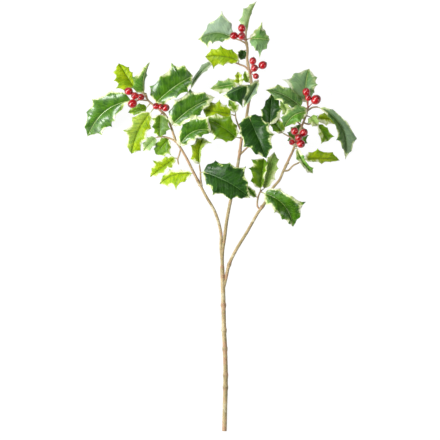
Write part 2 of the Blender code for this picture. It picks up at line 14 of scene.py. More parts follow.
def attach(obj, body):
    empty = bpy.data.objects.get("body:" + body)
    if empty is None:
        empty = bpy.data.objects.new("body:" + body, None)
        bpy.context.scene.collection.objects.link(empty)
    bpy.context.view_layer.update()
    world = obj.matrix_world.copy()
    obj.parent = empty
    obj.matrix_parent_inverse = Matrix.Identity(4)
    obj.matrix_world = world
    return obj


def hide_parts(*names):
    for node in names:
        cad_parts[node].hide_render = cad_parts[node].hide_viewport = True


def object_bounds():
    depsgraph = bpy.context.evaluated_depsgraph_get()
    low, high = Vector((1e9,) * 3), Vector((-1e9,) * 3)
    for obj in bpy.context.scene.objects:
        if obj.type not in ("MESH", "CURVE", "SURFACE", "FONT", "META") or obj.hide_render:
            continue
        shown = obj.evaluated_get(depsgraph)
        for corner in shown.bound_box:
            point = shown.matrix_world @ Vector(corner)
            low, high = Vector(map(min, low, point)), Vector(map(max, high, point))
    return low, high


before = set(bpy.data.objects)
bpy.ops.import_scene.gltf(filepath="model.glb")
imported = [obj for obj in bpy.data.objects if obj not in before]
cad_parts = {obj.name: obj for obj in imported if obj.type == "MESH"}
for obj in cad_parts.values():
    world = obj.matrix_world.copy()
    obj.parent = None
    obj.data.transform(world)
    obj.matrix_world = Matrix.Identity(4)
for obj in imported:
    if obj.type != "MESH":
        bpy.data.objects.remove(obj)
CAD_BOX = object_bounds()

MM = 0.001
MIDDLE = (-6, 276)

# ---- dimensions, as in the part
CROWN_HEIGHT = 34
CROWN_START = 360
BUTT_HEIGHT = 2.5
BUTT_LENGTH = 14
TOOTH_WAVE = 0.16
SINUS_PLACE = 0.42
SHOULDER = (0.42, 0.64)
SHOULDER_OUT = 0.42
DOME = 0.10
PETIOLE_RADIUS = 0.95
PETIOLE_SPRING = 0.3
SEAT_GAP = 0.30
BERRY_STRETCH = 1.12
BERRY_STALK_RADIUS = 0.75
BERRY_STALK_RISE = 1.5
BERRY_STALK_SUNK = 0.5

# ---- dimensions of the fine pieces
SINUS_DEPTH = {"dark": 0.81, "mid": 0.77, "lime": 0.72, "pale": 0.73}
FULLNESS = 1.10  # the margin stands this many times as far out as the solids'
LEAF_STEPS = 8  # rows of the blade between two corners of its plain outline
LEAF_SHARES = (1, 0.95, 0.87, 0.76, 0.63, 0.49, 0.35, 0.21, 0.08)  # from rib to margin
LEAF_COLUMNS = [(1, s) for s in LEAF_SHARES] + [(1, 0)] + [(-1, s) for s in reversed(LEAF_SHARES)]
LEAF_THICKNESS = (0.70, 0.34)  # at the rib and at the margin
LEAF_GROOVE = (0.22, 0.8)  # depth and width of the upper side's groove along the rib
LEAF_SEED = 7.3  # sets one leaf's mottling apart from the next
GREEN_SPINE = (1.8, 3.5)  # how far the green runs out into a spine, and over what width
SPINE_CURVE = 1.30  # how hollow the margin is between two spines
SPINE_NEEDLE = (0.30, 0.80, 1.3)  # share of a spine's rise that is needle, its start and curve
SPINE_CROWDING = 1.5  # how the rows crowd towards a spine's point
TIP_CURVE = 1.4
PAINTED_SHEEN_EDGE = 3  # width beside the rib over which the painted sheen comes in
RIB_RADIUS = (0.55, 0.16)  # of the rib under the blade, from the leaf stalk to the tip
RIB_END = 0.90
RIB_DEPTHS = ((0, 0), (0.15, 0.38), (0.4, 0.40), (0.7, 0.32), (1, 0.2))  # share, mm under it
STALK_CURVE = 0.7
TUBE_SIDES = 8
TUBE_STEP = 1.6
BERRY_RINGS = 18
BERRY_SIDES = 26
BERRY_DIMPLE = (0.05, 0.28)  # how far the end with the scar is drawn in, over what angle
BERRY_UNEVEN = (0.03, 0.035)  # a fuller half at the stalk, and soft lumps
BERRY_SEED = 0.37
BERRY_STALK_STEP = 1.2
BERRY_STALK_WAIST = (1.15, 0.35)  # width at the ends, and how much less it is midway
SCAR_SIDES = 12
SCAR_RINGS = ((-0.9, 1.15), (0.1, 1.05), (0.42, 0.8), (0.3, 0.45), (0.05, 0.1))  # height, radius
SCAR_LOBES = (4, 0.12)  # how many, and how far they rise and the scar is sunk
BARK_STEP = 1.6
BARK_SIDES, TWIG_SIDES = 16, 12
BRANCHES = 4  # the first shoots: the stem and the three branches
BARK_SWELL = 0.12  # share of the radius that the bark stands outside the plain shoot
BARK_LUMP = 0.10  # unevenness of the bark, against the shoot's radius
BARK_NOISE = ((0.35, 0.5), (1.1, 0.35))  # scale and weight
BARK_RING = (0.8, 0.14, 0.1)  # place on a knuckle, width and height of its ring
RING_NOISE = (0.5, 0.3)  # scale, and how much the ring is even
BARK_THICK = 2.6  # a shoot of this radius has the thick shoots' colour
KNUCKLE_LENGTH = 5
END_CAP = ((0.45, 0.85), (0.40, 0.60), (0.20, 0.35))  # steps on and what is left of the radius
BUD_LENGTH = 2.6
BUD_SUNK = 0.6
BUD_SLANT = 1.3
BUD_LOOK = (0.4, 0.9)  # as thick a shoot, as near a knuckle
BUD_RINGS = ((0, 0.9), (0.3, 1.05), (0.6, 0.9), (0.85, 0.5), (1, 0.12))  # share, radius
BUDS = ((0, 0.50, 1), (0, 0.62, -1), (0, 0.77, 1), (1, 0.50, -1), (1, 0.72, -1),
        (2, 0.43, 1), (2, 0.69, 1), (3, 0.45, 1), (3, 0.70, -1))  # shoot, share of it, side

# ---- camera and light, in metres
CAMERA_PLACE = (0.0002, -0.0008, 1.900)
CAMERA_LENS = 119
SKY_DIM, SKY_BRIGHT = 0.03, 0.70  # light from overhead and from low down
SKY_CHANGE = (0.55, 0.93)  # heights between which it changes
FLOOR_HALF, FLOOR_DEPTH = 3.0, 0.0002
FLOOR_GLOW = 0.96  # the paper lies on a light box, which keeps shadows faint
LIGHT_TARGET = (0, 0.1, 0)
LIGHTS = (  # name, place, size, watts
    ("top", (-0.1, 1.20, 1.75), (0.9, 0.5), 11),
    ("window", (-1.25, 0.35, 1.75), (0.5, 0.8), 32),
    ("west", (-1.75, -0.58, 0.88), (0.5, 1.0), 40),
    ("right", (1.4, -0.6, 1.3), (0.8, 0.8), 8),
)

# ---- woody shoots
# path is the (x, y) route, radius runs from the shoot's start to its end, step is the
# plain route's, rise lifts the shoot's end above the height that all shoots share. A
# knuckle is (place along the shoot, how many times as thick).
Shoot = namedtuple("Shoot", "path radius step rise knuckles", defaults=(0, ()))

SHOOTS = (
    # the main stem and the middle branch, which is its own continuation
    Shoot(((0, 0), (0.3, 14), (1.5, 70), (0.6, 109), (-0.6, 134), (-1.3, 166), (-2, 190), (-3, 215)),
          (2.75, 2.5), 12, 0, ((58, 1.2), (74, 1.22), (109, 1.2), (134, 1.25), (167, 1.25))),
    Shoot(((-2.6, 205), (-2.8, 232), (0, 252), (3, 275), (8, 301), (12, 320), (17, 346),
           (20, 365), (22, 380), (27, 402), (30, 419), (33, 440), (34.5, 452), (31, 470),
           (29, 482), (29.5, 494), (27, 508), (27.5, 518)),
          (2.1, 1.35), 10, 0, ((160, 1.2), (228, 1.3), (247, 1.2), (272, 1.25), (298, 1.3))),
    # the left branch
    Shoot(((-3, 222), (-4.6, 240), (-4.8, 260), (-12, 285), (-25, 308), (-38, 333),
           (-48, 353), (-56, 367), (-63, 378), (-68, 393), (-74, 407), (-83, 416),
           (-93, 424), (-99, 430), (-101, 437)),
          (1.85, 1.15), 10, 0, ((108, 1.25), (170, 1.2), (205, 1.3), (232, 1.25))),
    # the right branch
    Shoot(((-1.8, 186), (1.5, 199), (6, 218), (15, 237), (29, 260), (42, 283), (51, 296),
           (61, 315), (70, 326), (75, 337), (82, 352), (88, 365), (90, 372), (95, 385),
           (100, 398), (105, 411), (107, 420)),
          (2.0, 1.2), 10, 0, ((33, 1.3), (118, 1.25), (178, 1.2), (212, 1.3))),
    # twigs of the left branch
    Shoot(((-29, 318), (-30.5, 327), (-31, 337), (-32, 344)), (1.1, 0.9), 6),
    Shoot(((-56, 367), (-58, 359), (-60, 353), (-59, 347)), (1.0, 0.8), 6, -3),
    Shoot(((-63, 376), (-70, 380), (-78, 382), (-85, 382)), (1.1, 0.8), 6, -6),
    Shoot(((-97, 428), (-106, 429), (-114, 429)), (1.0, 0.8), 6),
    Shoot(((-100, 433), (-106, 439), (-112, 443)), (1.0, 0.8), 6, -3),
    # twigs of the middle branch
    Shoot(((19, 358), (27, 366), (38, 376), (49, 386), (55, 393)), (1.1, 0.8), 8, -2),
    Shoot(((23, 386), (18, 396), (15, 404), (14, 409)), (1.1, 0.8), 6, -3),
    Shoot(((33, 443), (27, 446), (22, 448)), (1.0, 0.8), 6, -3),
    Shoot(((34, 449), (39, 451), (43, 454)), (1.0, 0.8), 6, 4),
    Shoot(((31, 467), (26, 472), (21, 474), (14, 477), (4, 480), (-2, 481)), (1.1, 0.8), 7, -4),
    Shoot(((28, 501), (21, 505), (15, 507)), (1.0, 0.8), 6),
    # twigs of the right branch
    Shoot(((46, 289), (42.5, 292), (42, 298), (43.5, 306), (46, 312)), (1.1, 0.9), 6, 1),
    Shoot(((76, 338), (82, 339), (88, 345), (94, 348), (99, 351)), (1.1, 0.8), 6),
    Shoot(((91, 375), (85, 381), (78, 385)), (1.0, 0.8), 6, -4),
    Shoot(((99, 396), (92, 402), (87, 405)), (1.0, 0.8), 6, 1),
    Shoot(((101, 400), (108, 398), (115, 401)), (1.0, 0.8), 6, -3),
    Shoot(((106, 415), (112, 419), (118, 420)), (1.1, 0.9), 6, 2),
)

# ---- leaves
# foot and tip are the ends of the rib (x, y, z). bow is how far the rib bends to its
# left, arch how far it rises between its ends. lift is the slope in degrees of the
# left and the right half of the blade. A spine is (place along the rib, reach in mm).
Leaf = namedtuple("Leaf", "name tint foot tip bow arch lift left right")

LEAVES = (
    Leaf("left_1", "dark", (-120, 428, 38), (-179, 384, -6), -10, 9, (8, 10),
        ((0.14, 5), (0.37, 18), (0.56, 19), (0.8, 16)), ((0.24, 18), (0.48, 21), (0.7, 15), (0.88, 8))),
    Leaf("left_2", "lime", (-116, 445, 34), (-136, 477, 30), 0, 4, (10, 10),
        ((0.3, 19), (0.52, 17), (0.82, 12)), ((0.2, 6), (0.44, 9), (0.68, 8))),
    Leaf("left_3", "mid", (-103, 438, 42), (-94, 477, 54), 4, 4, (10, -75),
        ((0.16, 14), (0.42, 14), (0.74, 3)), ((0.25, 8), (0.5, 8), (0.76, 6))),
    Leaf("left_4", "dark", (-87, 425, 44), (-40, 458, 56), 2, 7, (15, 12),
        ((0.14, 19), (0.44, 21), (0.74, 25), (0.92, 16)), ((0.08, 8), (0.44, 13), (0.72, 14), (0.9, 8))),
    Leaf("left_5", "dark", (-67, 397, 40), (-12, 432, 43), 4, 6, (15, 8),
        ((0.12, 13), (0.34, 21), (0.64, 20), (0.84, 10)), ((0.08, 7), (0.34, 15), (0.58, 12), (0.84, 7))),
    Leaf("left_6", "dark", (-57, 370, 44), (-17, 389, 57), 8, 8, (15, 10),
        ((0.14, 9), (0.42, 14), (0.68, 18), (0.88, 16)), ((0.1, 6), (0.46, 12), (0.74, 9), (0.94, 5))),
    Leaf("left_7", "lime", (-32, 347, 40), (-27, 381, 34), 3, 4, (25, 30),
        ((0.2, 10), (0.56, 13), (0.86, 7)), ((0.3, 3), (0.6, 5), (0.86, 13))),
    Leaf("left_8", "mid", (-72, 379, 28), (-89, 360, 14), 0, 4, (10, 10),
        ((0.2, 8), (0.42, 16), (0.78, 9)), ((0.18, 8), (0.56, 10), (0.86, 6))),
    Leaf("left_9", "lime", (-95, 413, 34), (-121, 361, 8), -4, 5, (10, 10),
        ((0.28, 12), (0.54, 15), (0.88, 10)), ((0.3, 14), (0.56, 17), (0.88, 7))),
    Leaf("left_10", "lime", (-82, 410, 39), (-83, 381, 38), 0, 3, (10, 10),
        ((0.26, 12), (0.62, 14), (0.86, 7)), ((0.2, 10), (0.56, 10), (0.82, 7))),
    Leaf("left_11", "pale", (-89, 381, 27), (-105, 364, 24), 0, 2, (20, 20),
        ((0.3, 7), (0.68, 7)), ((0.3, 8), (0.66, 8))),
    Leaf("left_12", "mid", (-100, 420, 30), (-125, 414, 20), 0, 3, (10, 10),
        ((0.32, 7), (0.68, 6)), ((0.32, 7), (0.66, 7))),
    Leaf("left_13", "lime", (-63, 355, 30), (-97, 331, 10), 0, 5, (10, 10),
        ((0.26, 7), (0.54, 7), (0.82, 4)), ((0.22, 8), (0.56, 14), (0.8, 7))),
    Leaf("left_14", "lime", (-42, 335, 32), (-85, 322, 3), -5, 5, (10, 10),
        ((0.18, 10), (0.48, 19), (0.84, 9)), ((0.26, 4), (0.54, 9), (0.8, 5))),
    Leaf("middle_1", "dark", (9, 509, 41), (-35, 511, -6), -6, 11, (8, 30),
        ((0.18, 10), (0.46, 14), (0.8, 15)), ((0.1, 12), (0.25, 29), (0.64, 8))),
    Leaf("middle_2", "mid", (29, 518, 40), (41, 554, 47), 3, 4, (10, -75),
        ((0.26, 11), (0.6, 10), (0.82, 4)), ((0.28, 5), (0.56, 4), (0.8, 3))),
    Leaf("middle_3", "mid", (32, 507, 43), (58, 506, 37), 0, 4, (12, 5),
        ((0.18, 7), (0.5, 21), (0.76, 9), (0.9, 4)), ((0.1, 8), (0.3, 15), (0.54, 22), (0.8, 11))),
    Leaf("middle_4", "lime", (18, 479, 44), (-25, 484, 39), -2.5, 5, (-16, 25),
        ((0.14, 7), (0.42, 11), (0.82, 16)), ((0.26, 10), (0.54, 14), (0.8, 8))),
    Leaf("middle_5", "pale", (-9, 481, 32), (-44, 443, 20), -5, 3, (60, 50),
        ((0.36, 7), (0.74, 6)), ((0.36, 7), (0.74, 6))),
    Leaf("middle_6", "pale", (17, 450, 33), (-19, 444, 29), 0, 3, (10, 10),
        ((0.32, 11), (0.66, 9)), ((0.3, 9), (0.64, 8))),
    Leaf("middle_7", "lime", (19, 447, 43), (17, 465, 43), 0, 2, (20, 20),
        ((0.34, 7), (0.7, 5)), ((0.34, 6), (0.7, 5))),
    Leaf("middle_8", "mid", (31, 452, 31), (26, 467, 29), 0, 2, (10, 10),
        ((0.36, 6), (0.7, 4)), ((0.34, 4), (0.7, 4))),
    Leaf("middle_9", "dark", (30, 447, 49), (-2, 433, 48), 0, 6, (-28, -60),
        ((0.18, 15), (0.52, 23), (0.86, 11)), ((0.3, 9), (0.6, 11), (0.86, 7))),
    Leaf("middle_10", "mid", (43, 451, 54), (24, 418, 55), 0, 5, (55, 50),
        ((0.42, 8), (0.76, 6)), ((0.36, 11), (0.72, 9))),
    Leaf("middle_11", "mid", (14, 413, 38), (5, 429, 40), 0, 2, (15, 15),
        ((0.34, 5), (0.68, 4)), ((0.34, 8), (0.68, 7))),
    Leaf("middle_12", "dark", (25, 493, 31), (21, 481, 28), 0, 2, (15, 15),
        ((0.34, 6), (0.7, 5)), ((0.34, 7), (0.7, 6))),
    Leaf("middle_13", "lime", (8, 411, 34), (-28, 417, 29), 0, 4, (10, 10),
        ((0.18, 11), (0.48, 13), (0.84, 9)), ((0.2, 10), (0.46, 15), (0.78, 11))),
    Leaf("middle_14", "mid", (15, 381, 41), (-27, 406, 40), -2, 5, (10, 10),
        ((0.12, 12), (0.46, 20), (0.74, 14)), ((0.16, 11), (0.42, 18), (0.76, 10))),
    Leaf("middle_15", "dark", (31, 407, 50), (53, 353, 57), 0, 9, (12, 12),
        ((0.1, 13), (0.36, 19), (0.58, 19), (0.82, 11)), ((0.08, 14), (0.32, 22), (0.58, 20), (0.82, 10))),
    Leaf("middle_16", "dark", (-27, 336, 47), (33, 303, 51), 4, 7, (10, 10),
        ((0.14, 17), (0.38, 22), (0.62, 26), (0.8, 11)), ((0.12, 12), (0.36, 23), (0.72, 16), (0.88, 7))),
    Leaf("right_1", "lime", (46, 316, 42), (50, 354, 45), 0, 4, (25, 30),
        ((0.22, 13), (0.6, 20), (0.88, 15)), ((0.26, 4), (0.58, 7), (0.84, 7))),
    Leaf("right_2", "pale", (51, 316, 34), (64, 363, 33), 0, 3, (20, 25),
        ((0.28, 8), (0.56, 9), (0.8, 6)), ((0.3, 10), (0.58, 12), (0.82, 8))),
    Leaf("right_3", "mid", (40, 305, 35), (26, 321, 39), 0, 2, (50, 50),
        ((0.38, 7), (0.72, 5)), ((0.38, 6), (0.72, 5))),
    Leaf("right_4", "dark", (51, 309, 44), (88, 266, 34), 9, 8, (8, 25),
        ((0.22, 13), (0.44, 14), (0.66, 23), (0.84, 9)), ((0.12, 12), (0.42, 18), (0.74, 11), (0.9, 5))),
    Leaf("right_5", "dark", (58, 398, 33), (61, 439, 31), 0, 4, (20, 10),
        ((0.16, 13), (0.42, 14), (0.74, 6)), ((0.22, 12), (0.5, 15), (0.78, 8))),
    Leaf("right_6", "mid", (75, 387, 29), (57, 411, 21), 0, 3, (15, 15),
        ((0.32, 8), (0.66, 8)), ((0.32, 9), (0.68, 8))),
    Leaf("right_7", "dark", (97, 420, 43), (52, 441, 44), -4, 5, (15, 15),
        ((0.16, 8), (0.42, 11), (0.7, 9)), ((0.14, 9), (0.46, 12), (0.74, 9))),
    Leaf("right_8", "dark", (105, 426, 40), (109, 470, 30), 3, 5, (12, 15),
        ((0.24, 14), (0.5, 30), (0.76, 14)), ((0.26, 10), (0.48, 15), (0.78, 12))),
    Leaf("right_9", "mid", (105, 413, 47), (76, 392, 46), -6, 6, (12, 15),
        ((0.14, 8), (0.38, 13), (0.7, 9)), ((0.24, 10), (0.52, 12), (0.78, 9))),
    Leaf("right_10", "dark", (122, 418, 44), (158, 354, -7), 13, 14, (20, 24),
        ((0.16, 6), (0.4, 9), (0.7, 14), (0.86, 6)), ((0.16, 4), (0.4, 8), (0.62, 12), (0.8, 6))),
    Leaf("right_11", "lime", (119, 406, 33), (153, 405, 23), 0, 3, (15, 15),
        ((0.3, 8), (0.62, 7)), ((0.34, 9), (0.68, 8))),
    Leaf("right_12", "mid", (121, 398, 31), (134, 377, 19), 0, 3, (20, 20),
        ((0.36, 7), (0.82, 10)), ((0.36, 6), (0.78, 11))),
    Leaf("right_13", "pale", (110, 407, 39), (119, 395, 41), 0, 3, (25, 25),
        ((0.34, 8), (0.7, 6)), ((0.34, 8), (0.7, 7))),
    Leaf("right_14", "dark", (93, 369.4, 26.2), (97, 399, 23), 0, 3, (15, 15),
        ((0.22, 12), (0.52, 15), (0.8, 10)), ((0.22, 12), (0.52, 13), (0.8, 9))),
    Leaf("right_15", "lime", (103, 353, 36), (149, 352, 24), 2, 4, (12, -50),
        ((0.12, 8), (0.34, 12), (0.76, 8)), ((0.24, 8), (0.52, 9), (0.8, 7))),
    Leaf("right_16", "mid", (93, 366, 42), (114, 335, 30), -4, 5, (50, 50),
        ((0.3, 7), (0.58, 7), (0.82, 7)), ((0.28, 7), (0.56, 6), (0.8, 5))),
    Leaf("right_17", "pale", (84, 408, 40), (71, 429, 40), 0, 2, (30, 30),
        ((0.32, 8), (0.66, 7)), ((0.32, 7), (0.66, 7))),
)

# ---- berries
# root is where the bunch's stalks leave the twig. A berry is (x, y, z, radius).
Bunch = namedtuple("Bunch", "name root berries")

BUNCHES = (
    Bunch("left_1", (-103, 433, 42),
          ((-122, 439, 50, 5.0), (-114, 433, 53, 4.6), (-106, 431, 56, 4.6), (-117, 423, 52, 5.6))),
    Bunch("left_2", (-82, 417, 41),
          ((-87, 420, 50, 4.3), (-80.5, 419, 52, 3.8), (-75, 418, 50, 5.0))),
    Bunch("middle_1", (26, 505, 41),
          ((22, 519, 51, 5.0), (22, 508.5, 56, 5.0), (12, 509, 55, 5.0))),
    Bunch("middle_2", (33, 463, 41),
          ((36, 477.5, 50, 4.5), (38, 468, 54, 4.6), (48.5, 472, 52, 5.2), (40, 458, 51, 3.8))),
    Bunch("right_1", (107, 419, 42),
          ((104, 438, 52, 4.9), (106, 430, 56, 4.0), (116, 428, 55, 6.2))),
    Bunch("right_2", (91, 374, 41),
          ((89, 388, 54, 4.8), (85.5, 374, 51, 3.8), (100.5, 386, 55, 5.1), (94, 379.5, 58, 4.6),
           (97, 372, 52, 5.4))),
)


# ---- curves
def crown_height(y):
    share = max(0, min(1, (y - BUTT_LENGTH) / (CROWN_START - BUTT_LENGTH)))
    return BUTT_HEIGHT + CROWN_HEIGHT * math.sin(math.pi / 2 * share)


def between(ends, share):
    return ends[0] + (ends[1] - ends[0]) * share


def smooth_route(points, step):
    """Points about one step apart on a smooth curve through the given ones."""
    ends = [2 * points[0] - points[1]] + list(points) + [2 * points[-1] - points[-2]]
    route = []
    for before, start, end, after in zip(ends, ends[1:], ends[2:], ends[3:]):
        count = max(1, round((end - start).length / step))
        for i in range(count):
            t = i / count
            route.append(0.5 * (2 * start + (end - before) * t
                                + (2 * before - 5 * start + 4 * end - after) * t ** 2
                                + (3 * start - before - 3 * end + after) * t ** 3))
    return route + [points[-1].copy()]


def shoot_route(shoot, step):
    """Centre line of a shoot, with its radius and its nearness to a knuckle at each point."""
    count = len(shoot.path) - 1
    points = [Vector((x, y, crown_height(y) + shoot.rise * i / count))
              for i, (x, y) in enumerate(shoot.path)]
    route = smooth_route(points, step)
    radii, knots = [], []
    for i, point in enumerate(route):
        radius = between(shoot.radius, i / (len(route) - 1))
        run = (point - route[0]).length
        knot = 0
        for place, swell in shoot.knuckles:
            near = max(0, 1 - abs(run - place) / KNUCKLE_LENGTH)
            radius *= 1 + (swell - 1) * near ** 2 * (3 - 2 * near)
            knot = max(knot, near)
        radii.append(radius)
        knots.append(knot)
    return route, radii, knots


PLAIN_ROUTES = [shoot_route(shoot, shoot.step) for shoot in SHOOTS]


def seat_on_twig(point):
    """Nearest place on the shoots' bark, and the direction out of the bark there."""
    best = None
    for route, radii, _ in PLAIN_ROUTES:
        for a, b, ra, rb in zip(route, route[1:], radii, radii[1:]):
            t = max(0, min(1, (point - a).dot(b - a) / (b - a).length_squared))
            centre = a.lerp(b, t)
            radius = between((ra, rb), t)
            gap = (point - centre).length - radius
            if best is None or gap < best[0]:
                best = (gap, centre, radius)
    _, centre, radius = best
    outward = (point - centre).normalized()
    return centre + outward * radius, outward


# ---- objects and meshes
def linked(name, data):
    made = bpy.data.objects.new(name, data)
    bpy.context.scene.collection.objects.link(made)
    return made


class Mesh:
    """Vertices in millimetres, faces with a material index, and named vectors a vertex."""

    def __init__(self):
        self.vertices, self.faces, self.slots, self.data = [], [], [], {}

    def add(self, vertices, faces, slot, **data):
        start = len(self.vertices)
        self.vertices += [tuple(v) for v in vertices]
        self.faces += [tuple(start + i for i in face) for face in faces]
        self.slots += [slot] * len(faces)
        for key in {**self.data, **data}:
            known = self.data.setdefault(key, [(0, 0, 0)] * start)
            known += data.get(key) or [(0, 0, 0)] * len(vertices)

    def piece(self, name, materials, node):
        """The object, standing for its CAD node and kept within the solids' box."""
        mesh = bpy.data.meshes.new(name)
        points = (np.array(self.vertices) - (*MIDDLE, 0)) * MM
        points = np.clip(points, *np.array(CAD_BOX))
        mesh.from_pydata(points.tolist(), [], self.faces)
        for found in materials:
            mesh.materials.append(found)
        mesh.polygons.foreach_set("material_index", self.slots)
        for key, values in self.data.items():
            layer = mesh.attributes.new(key, "FLOAT_VECTOR", "POINT")
            layer.data.foreach_set("vector", np.array(values, np.float32).ravel())
        mesh.shade_smooth()
        made = linked(name, mesh)
        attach(made, "root")
        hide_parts(node)


def tube(route, radii, sides):
    """Points and faces of a closed tube round a route, carried along without twist."""
    points = []
    across = None
    for i, point in enumerate(route):
        ahead = (route[min(i + 1, len(route) - 1)] - route[max(i - 1, 0)]).normalized()
        if across is None:
            across = ahead.orthogonal().normalized()
        across = (across - ahead * across.dot(ahead)).normalized()
        other = ahead.cross(across)
        for k in range(sides):
            turn = 2 * math.pi * (k + 0.5) / sides
            points.append(point + radii[i] * (math.cos(turn) * across + math.sin(turn) * other))
    return points, tube_faces(len(route), sides)


def tube_faces(count, sides):
    faces = [tuple(reversed(range(sides)))]
    for i in range(count - 1):
        for k in range(sides):
            a, b = i * sides + k, i * sides + (k + 1) % sides
            faces.append((a, b, b + sides, a + sides))
    return faces + [tuple(range((count - 1) * sides, count * sides))]


# ---- leaves
def left_of(ahead):
    return Vector((-ahead.y, ahead.x, 0)).normalized()


def rib_point(leaf, t):
    """Place on the rib, with the directions to the blade's left and upwards from it."""
    foot, tip = Vector(leaf.foot), Vector(leaf.tip)
    run = tip - foot
    left = left_of(run)
    curve, slope = 4 * t * (1 - t), 4 * (1 - 2 * t)
    point = foot + run * t + left * leaf.bow * curve + Vector((0, 0, leaf.arch * curve))
    ahead = (run + left * leaf.bow * slope + Vector((0, 0, leaf.arch * slope))).normalized()
    side = left_of(ahead)
    return point, side, ahead.cross(side)


def margin(spines, depth):
    """Corners of one half's plain outline: (place along the rib, reach, wave, kind)."""
    spines = [(place, reach * FULLNESS) for place, reach in spines]
    first, last = spines[0], spines[-1]
    corners = [(0, 0, 0, "foot"), (first[0] * SHOULDER[0], first[1] * SHOULDER[1], 0, "hollow")]
    for i, (place, reach) in enumerate(spines):
        corners.append((place, reach, 1 if i % 2 else -1, "spine"))
        if i + 1 < len(spines):
            after, beyond = spines[i + 1]
            corners.append((place + (after - place) * SINUS_PLACE,
                            (reach + beyond) / 2 * depth, 0, "hollow"))
    corners.append(((1 + last[0]) / 2, last[1] * SHOULDER_OUT, 0, "hollow"))
    return corners + [(1, 0, 0, "tip")]


def rise_to_spine(share):
    """How far the margin has risen on its way from a hollow to a spine's point."""
    needle, begin, curve = SPINE_NEEDLE
    point = max(0, (share - begin) / (1 - begin)) ** curve
    return (1 - needle) * share ** SPINE_CURVE + needle * point


def fine_margin(spines, depth):
    """The same outline with hollow arcs and needle spines: (place, reach, wave) a row."""
    rows = []
    corners = margin(spines, depth)
    for start, end in zip(corners, corners[1:]):
        for i in range(LEAF_STEPS):
            share = i / LEAF_STEPS
            if end[3] == "spine":
                share = 1 - (1 - share) ** SPINE_CROWDING
                rise = rise_to_spine(share)
            elif start[3] == "spine":
                share = share ** SPINE_CROWDING
                rise = 1 - rise_to_spine(1 - share)
            elif end[3] == "tip":
                rise = 1 - (1 - share) ** TIP_CURVE
            else:
                rise = math.sin(math.pi / 2 * share)
            steps = (share, rise, share * share * (3 - 2 * share))
            rows.append(tuple(a + (b - a) * s for a, b, s in zip(start, end, steps)))
    return rows[1:]


def blade_point(leaf, rib_place, side, edge, share):
    place, reach, wave = edge
    point, left, up = rib_point(leaf, between((rib_place, place), share))
    lift = math.radians(leaf.lift[0] if side > 0 else leaf.lift[1])
    out = reach * share
    bulge = DOME * reach * 4 * share * (1 - share)
    turn = wave * TOOTH_WAVE * reach * share ** 2
    level = math.cos(lift) * out - math.sin(lift) * (bulge + turn)
    height = math.sin(lift) * out + math.cos(lift) * (bulge + turn)
    return point + left * side * level + up * height


def blade_grid(leaf, sides, length):
    """The blade's points row by row, the same pressed flat to (along, across), and each
    one's share of the way from the rib to the margin."""
    points, flat, shares = [leaf.foot], [(0, 0)], [0]
    for left, right in zip(*sides):
        rib = (left[0] + right[0]) / 2
        for side, share in LEAF_COLUMNS:
            edge = left if side > 0 else right
            points.append(blade_point(leaf, rib, side, edge, share))
            flat.append((between((rib, edge[0]), share) * length, side * edge[1] * share))
            shares.append(share)
    return map(np.array, (points + [leaf.tip], flat + [(length, 0)], shares + [0]))


def blade_faces(rows):
    """Faces of one side of the blade, and the loop of points round its margin."""
    wide = len(LEAF_COLUMNS)
    tip = 1 + rows * wide
    faces = [(0, c + 2, c + 1) for c in range(wide - 1)]
    for row in range(rows - 1):
        for a in range(1 + row * wide, row * wide + wide):
            faces.append((a, a + 1, a + 1 + wide, a + wide))
    faces += [(tip - wide + c, tip - wide + c + 1, tip) for c in range(wide - 1)]
    loop = [0] + [(r + 1) * wide for r in range(rows)] + [tip]
    return faces, loop + [1 + r * wide for r in reversed(range(rows))]


def edge_distance(flat, outline):
    """Distance in millimetres of each point of the flattened blade from its margin."""
    start = np.array(outline)
    along = np.roll(start, -1, 0) - start
    length = np.maximum((along ** 2).sum(1), 1e-9)
    offset = flat[:, None] - start[None]
    t = np.clip((offset * along[None]).sum(2) / length, 0, 1)
    return np.sqrt(((offset - t[..., None] * along[None]) ** 2).sum(2)).min(1)


def green_inside(leaf, sides, flat, length):
    """How far inside the green each point lies: from the margin, and further at a spine."""
    outline = [(0, 0)] + [(p * length, r) for p, r, _ in sides[0]] + [(length, 0)]
    outline += [(p * length, -r) for p, r, _ in reversed(sides[1])]
    spots = [(p * length, r) for p, r in leaf.left] + [(p * length, -r) for p, r in leaf.right]
    near = np.min([np.hypot(*(flat - spot).T) for spot in spots + [(length, 0)]], axis=0)
    reach, width = GREEN_SPINE
    return edge_distance(flat, outline) + reach * np.exp(-(near / width) ** 2)


def thick_blade(place, faces, loop, across, shares):
    """Points and faces of the solid blade, thin at its margin and grooved above its rib."""
    place[:, 2] = np.maximum(place[:, 2], LEAF_THICKNESS[0] / 2)
    normals = np.zeros_like(place)
    for face in faces:
        a, b, c = place[face[0]], place[face[1]], place[face[2]]
        normals[list(face)] += np.cross(b - a, c - a)
    normals /= np.linalg.norm(normals, axis=1)[:, None] + 1e-12
    thick = between(LEAF_THICKNESS, shares)[:, None]
    deep, wide = LEAF_GROOVE
    groove = np.exp(-(across / wide) ** 2)[:, None] * deep
    count = len(place)
    solid = faces + [tuple(count + i for i in reversed(f)) for f in faces]
    solid += [(b, a, count + a, count + b) for a, b in zip(loop, loop[1:] + loop[:1])]
    return np.vstack([place + normals * (thick / 2 - groove), place - normals * thick / 2]), solid


